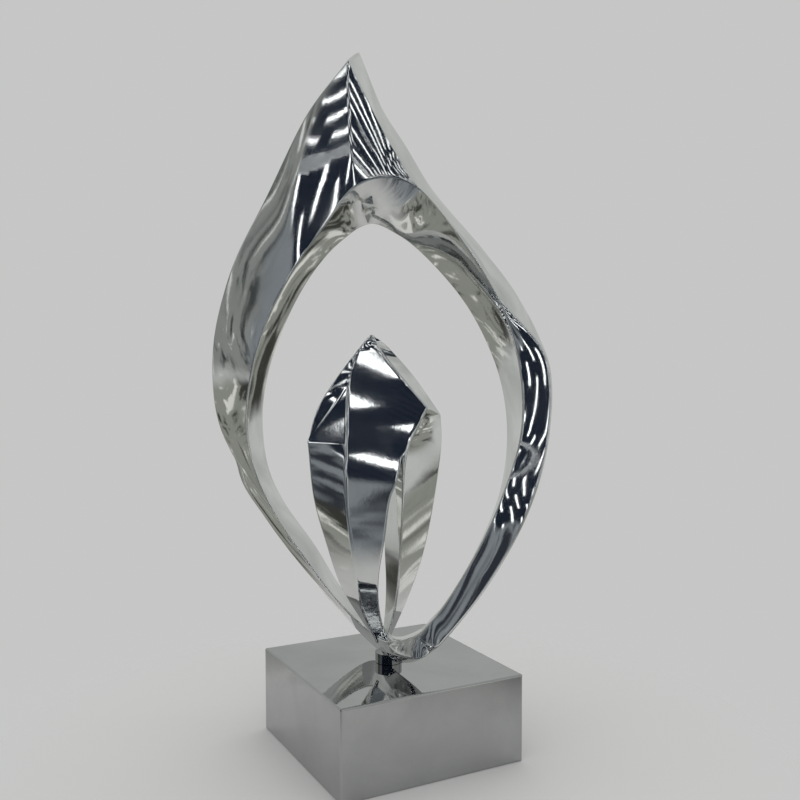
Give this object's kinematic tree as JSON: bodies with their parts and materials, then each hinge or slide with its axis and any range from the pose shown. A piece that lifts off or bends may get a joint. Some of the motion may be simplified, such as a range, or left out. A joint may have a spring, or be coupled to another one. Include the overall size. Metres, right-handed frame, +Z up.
{
  "type": "abstract metal sculpture",
  "caption": "Mirror-polished steel tabletop sculpture: a twisted faceted flame loop rising to a point, a slotted pointed bud standing inside it, on a square block plinth.",
  "frame": {"origin": "centre of the plinth's underside", "axes": "+Z up; +X along the plinth's diagonal in the plane of the loop, to the viewer's right; the front of the sculpture faces -Y"},
  "size_m": [0.3277, 0.2546, 0.6536],
  "materials": {
    "plinth_steel": "mirror polished stainless steel",
    "loop_steel": "mirror polished stainless steel",
    "bud_steel": "mirror polished stainless steel",
    "neck_steel": "polished stainless steel"
  },
  "bodies": {
    "root": {"plinth": "plinth_steel", "flame_loop": "loop_steel", "bud": "bud_steel", "neck": "neck_steel"}
  },
  "joints": []
}
